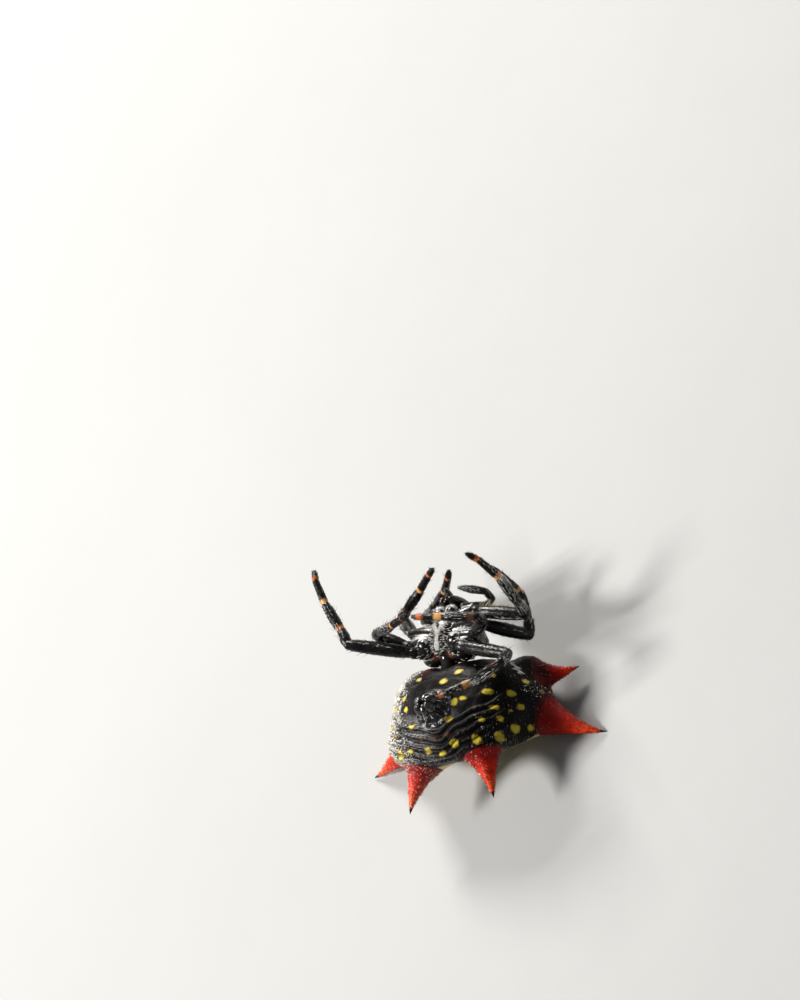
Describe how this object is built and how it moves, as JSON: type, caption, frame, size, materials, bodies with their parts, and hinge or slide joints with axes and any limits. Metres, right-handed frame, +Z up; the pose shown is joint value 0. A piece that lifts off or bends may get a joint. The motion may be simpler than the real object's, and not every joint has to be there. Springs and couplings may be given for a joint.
{
  "type": "spiny orb weaver spider",
  "caption": "Life-size still model of a spiny orb weaver lying on its back: a wide black shield with yellow spots and red spines, and banded black legs drawn in over the body.",
  "frame": {"origin": "centre of the floor plan, at floor level, under the back that the spider lies on", "axes": "+X to the animal's left, +Y to its head end, +Z up, which is the way its belly faces"},
  "size_m": [0.0126, 0.0106, 0.0067],
  "materials": {
    "spotted_abdomen": "satin black cuticle with yellow spots, spines red to orange with black tips",
    "dark_cuticle": "glossy black with short white hairs",
    "stalk_membrane": "dark brown skin",
    "leg_cuticle": "glossy black with orange bands and white hairs"
  },
  "bodies": {
    "root": {"abdomen": "spotted_abdomen", "spinnerets": "dark_cuticle", "pedicel": "stalk_membrane", "prosoma": "dark_cuticle", "chelicera_left": "dark_cuticle", "palp_left": "leg_cuticle", "leg_1_left_femur": "leg_cuticle", "leg_1_left_shin": "leg_cuticle", "leg_2_left_femur": "leg_cuticle", "leg_2_left_shin": "leg_cuticle", "leg_3_left_femur": "leg_cuticle", "leg_3_left_shin": "leg_cuticle", "leg_4_left_femur": "leg_cuticle", "leg_4_left_shin": "leg_cuticle", "chelicera_right": "dark_cuticle", "palp_right": "leg_cuticle", "leg_1_right_femur": "leg_cuticle", "leg_1_right_shin": "leg_cuticle", "leg_2_right_femur": "leg_cuticle", "leg_2_right_shin": "leg_cuticle", "leg_3_right_femur": "leg_cuticle", "leg_3_right_shin": "leg_cuticle", "leg_4_right_femur": "leg_cuticle", "leg_4_right_shin": "leg_cuticle"}
  },
  "joints": []
}
